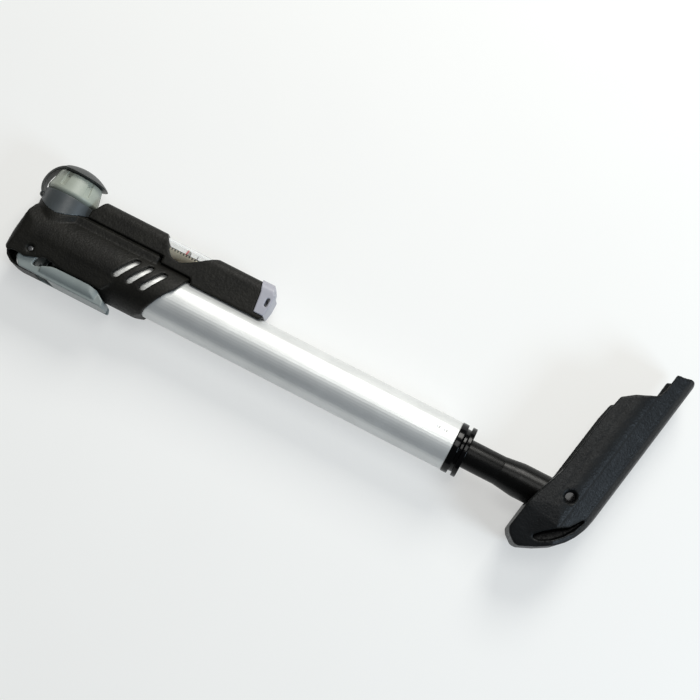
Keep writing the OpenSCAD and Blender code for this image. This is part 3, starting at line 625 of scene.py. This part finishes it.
class PUMP_OT_stage(bpy.types.Operator):
    """Sets the floor, the soft lights and the camera"""

    bl_idname = "pump.stage"
    bl_label = "Stage"

    ROLL = math.radians(27.35)
    TILT = math.radians(10)
    DISTANCE = 0.680
    TARGET = Vector((0.0145, 0.0184, 0))
    LENS = 75.0
    FLOOR_HALF = 3.0
    # Name, place and side in metres, power in watts, colour
    LIGHTS = (
        ("key", (0.05, 0.84, 0.62), 0.42, 8.5, (1.0, 0.985, 0.94)),
        ("top", (0.05, 0.30, 1.25), 0.5, 4.2, (1.0, 1.0, 0.97)),
        ("side", (0.87, -0.12, 0.56), 0.3, 4.6, (0.70, 0.85, 1.0)))
    SKY = (0.93, 0.96, 1.0, 1)
    SKY_STRENGTH = 0.12
    # Strength of the floor's glow: painted light that pales the shadows on the floor by about half and lights the pump
    # from below
    FLOOR_PAINTED_LIGHT = 0.455

    def execute(self, context):
        self.floor(context.scene.pump_colours)
        self.camera(context.scene)
        self.lights(context.scene)
        return {"FINISHED"}

    def directions(self):
        """Right, up and back of the camera."""
        right = Vector((math.cos(self.ROLL), math.sin(self.ROLL), 0))
        level = Vector((-math.sin(self.ROLL), math.cos(self.ROLL), 0))
        up = level * math.cos(self.TILT) + Z_AXIS * math.sin(self.TILT)
        return right, up, right.cross(up)

    def floor(self, tones):
        """A wide pale floor under the lowest point. It glows as painted light, which pales the shadows on it and
        lights the pump from below.
        """
        mesh = bmesh.new()
        bmesh.ops.create_grid(mesh, x_segments=1, y_segments=1, size=self.FLOOR_HALF,
                              matrix=Matrix.Translation((0, 0, CAD_BOX[0][2])))
        data = bpy.data.meshes.new("floor")
        mesh.to_mesh(data)
        mesh.free()
        # The emission is painted light: the floor glows though it is no lamp
        made = Finish("Pale floor", Roughness=0.75, Emission_Color=(1.0, 1.0, 0.985, 1),
                      Emission_Strength=self.FLOOR_PAINTED_LIGHT)
        clouds = made.noise(0.08, 2.0)
        made.link(made.tones(clouds, shade(tones.floor, 0.99), shade(tones.floor, 1.01)), "Base Color")
        data.materials.append(made.material)
        ground = bpy.data.objects.new("floor", data)
        bpy.context.scene.collection.objects.link(ground)

    def camera(self, scene):
        """The camera, looking down on the pump."""
        right, up, back = self.directions()
        data = bpy.data.cameras.new("camera")
        data.lens = self.LENS
        data.clip_start = 0.01
        view = bpy.data.objects.new("camera", data)
        turn = Matrix((right, up, back)).transposed().to_4x4()
        view.matrix_world = Matrix.Translation(self.TARGET + back * self.DISTANCE) @ turn
        scene.collection.objects.link(view)
        scene.camera = view

    def lights(self, scene):
        """One large soft light from the valve's side, one overhead and a cool one beside the handle."""
        for name, place, size, power, tone in self.LIGHTS:
            data = bpy.data.lights.new(name, "AREA")
            data.size = size
            data.energy = power
            data.color = tone
            lamp = bpy.data.objects.new(name, data)
            lamp.matrix_world = Matrix.Translation(place) @ Vector(place).to_track_quat("Z", "Y").to_matrix().to_4x4()
            scene.collection.objects.link(lamp)
        world = bpy.data.worlds.new("studio")
        world.use_nodes = True
        sky = world.node_tree.nodes["Background"]
        sky.inputs["Color"].default_value = self.SKY
        sky.inputs["Strength"].default_value = self.SKY_STRENGTH
        scene.world = world
        scene.view_settings.view_transform = "Standard"


class PUMP_PT_panel(bpy.types.Panel):
    """Lists the pump's operators"""

    bl_idname = "PUMP_PT_panel"
    bl_label = "Mini pump"
    bl_space_type = "VIEW_3D"
    bl_region_type = "UI"
    bl_category = "Mini pump"

    def draw(self, context):
        for operator in OPERATORS:
            self.layout.operator(operator.bl_idname)
        for group in (context.scene.pump_sizes, context.scene.pump_colours):
            box = self.layout.box()
            for key in group.bl_rna.properties.keys():
                if key not in {"rna_type", "name"}:
                    box.prop(group, key)


OPERATORS = (PUMP_OT_head, PUMP_OT_barrel, PUMP_OT_collar, PUMP_OT_rod, PUMP_OT_handle, PUMP_OT_lever, PUMP_OT_valve,
             PUMP_OT_gauge, PUMP_OT_seals, PUMP_OT_stage)
CLASSES = (PumpSizes, PumpColours, *OPERATORS, PUMP_PT_panel)


def register():
    """Registers the classes and the settings on the scene."""
    for item in CLASSES:
        bpy.utils.register_class(item)
    bpy.types.Scene.pump_sizes = bpy.props.PointerProperty(type=PumpSizes)
    bpy.types.Scene.pump_colours = bpy.props.PointerProperty(type=PumpColours)


def unregister():
    """Removes the settings and the classes."""
    del bpy.types.Scene.pump_colours
    del bpy.types.Scene.pump_sizes
    for item in reversed(CLASSES):
        bpy.utils.unregister_class(item)


def main():
    """Builds every piece."""
    register()
    bpy.ops.pump.head()
    bpy.ops.pump.barrel()
    bpy.ops.pump.collar()
    bpy.ops.pump.rod()
    bpy.ops.pump.handle()
    bpy.ops.pump.lever()
    bpy.ops.pump.valve()
    bpy.ops.pump.gauge()
    bpy.ops.pump.seals()
    bpy.ops.pump.stage()


if __name__ == "__main__":
    main()
